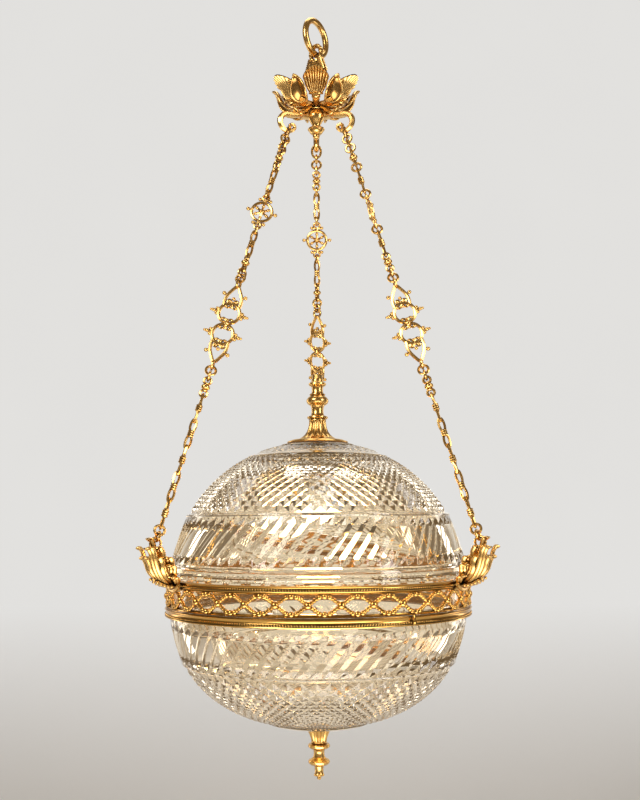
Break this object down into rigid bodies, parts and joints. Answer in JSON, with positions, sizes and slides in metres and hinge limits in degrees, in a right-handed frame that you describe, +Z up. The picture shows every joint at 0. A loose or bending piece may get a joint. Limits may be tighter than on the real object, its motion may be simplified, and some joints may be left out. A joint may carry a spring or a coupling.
{
  "type": "globe pendant light",
  "caption": "Cut-glass globe pendant in a pierced gilt-brass band, hung by ornamental chains with roundels and openwork plaques from a leafed corona; the lower bowl is hinged.",
  "frame": {"origin": "where the ceiling hook bears on the inside of the hanging ring's top", "axes": "+Z up along the light's axis, -Y towards the viewer (the two front chains are at -Y), +X to the viewer's right"},
  "size_m": [0.3992, 0.4081, 0.9439],
  "materials": {
    "gilt_brass": "antique gilt, satin, darkened in the hollows",
    "cut_glass": "clear, cut and polished",
    "lamp_glass": "frosted",
    "holder": "dark moulded",
    "washer": "matt",
    "steel": "plain"
  },
  "bodies": {
    "suspension": {"hanging_ring": "gilt_brass"},
    "corona": {"corona_loop": "gilt_brass", "corona_baluster": "gilt_brass", "corona_spider": "gilt_brass", "corona_palmettes": "gilt_brass", "corona_leaves": "gilt_brass", "chain_hook_left": "gilt_brass", "chain_hook_right": "gilt_brass", "chain_hook_back": "gilt_brass"},
    "chain_left": {"chain_left_upper_links": "gilt_brass", "chain_left_roundel": "gilt_brass", "chain_left_middle_links": "gilt_brass", "chain_left_plaque": "gilt_brass", "chain_left_lower_links": "gilt_brass"},
    "chain_right": {"chain_right_upper_links": "gilt_brass", "chain_right_roundel": "gilt_brass", "chain_right_middle_links": "gilt_brass", "chain_right_plaque": "gilt_brass", "chain_right_lower_links": "gilt_brass"},
    "chain_back": {"chain_back_upper_links": "gilt_brass", "chain_back_roundel": "gilt_brass", "chain_back_middle_links": "gilt_brass", "chain_back_plaque": "gilt_brass", "chain_back_lower_links": "gilt_brass"},
    "globe": {"band_moulding": "gilt_brass", "band_fretwork": "gilt_brass", "band_base": "gilt_brass", "upper_glass": "cut_glass", "bracket_left": "gilt_brass", "bracket_right": "gilt_brass", "bracket_back": "gilt_brass", "stem_washer": "washer", "stem_plate": "gilt_brass", "stem_trumpet": "gilt_brass", "stem_baluster": "gilt_brass", "stem_tube": "gilt_brass", "stem_locknut": "steel", "lampholder": "holder", "bulb": "lamp_glass", "hinge_ears": "gilt_brass", "hinge_pin": "steel"},
    "lower_bowl": {"lower_ring": "gilt_brass", "lower_glass": "cut_glass", "finial_rod": "steel", "finial_nut": "steel", "finial_cup": "gilt_brass", "finial_drop": "gilt_brass", "hinge_knuckle": "gilt_brass", "clasp": "gilt_brass"}
  },
  "joints": [
    {"name": "pendant_swing", "type": "hinge", "parent": "suspension", "child": "corona", "pos_m": [0, 0, -0.041], "axis": [0.5736, 0.8192, 0], "range_deg": [-25, 25]},
    {"name": "globe_twist", "type": "hinge", "parent": "corona", "child": "globe", "pos_m": [0, 0, 0], "axis": [0, 0, 1], "range_deg": [-6, 6], "stiffness_Nm_per_rad": 2},
    {"name": "chain_left_swing", "type": "hinge", "parent": "corona", "child": "chain_left", "pos_m": [-0.03551, -0.0205, -0.1524], "axis": [-0.8241, -0.4758, 0.3075], "range_deg": [-2.4, 2.4]},
    {"name": "chain_right_swing", "type": "hinge", "parent": "corona", "child": "chain_right", "pos_m": [0.03551, -0.0205, -0.1524], "axis": [0.8241, -0.4758, 0.3075], "range_deg": [-2.4, 2.4]},
    {"name": "chain_back_swing", "type": "hinge", "parent": "corona", "child": "chain_back", "pos_m": [0, 0.041, -0.1524], "axis": [0, 0.9516, 0.3075], "range_deg": [-2.4, 2.4]},
    {"name": "bowl_opening", "type": "hinge", "parent": "globe", "child": "lower_bowl", "pos_m": [-0.10212, 0.15725, -0.73505], "axis": [0.8387, 0.5446, 0], "range_deg": [0, 85]}
  ],
  "couplings": [
    {"joint": "chain_left_swing", "follows": "globe_twist", "ratio": 0.38457},
    {"joint": "chain_right_swing", "follows": "globe_twist", "ratio": 0.38457},
    {"joint": "chain_back_swing", "follows": "globe_twist", "ratio": 0.38457}
  ]
}
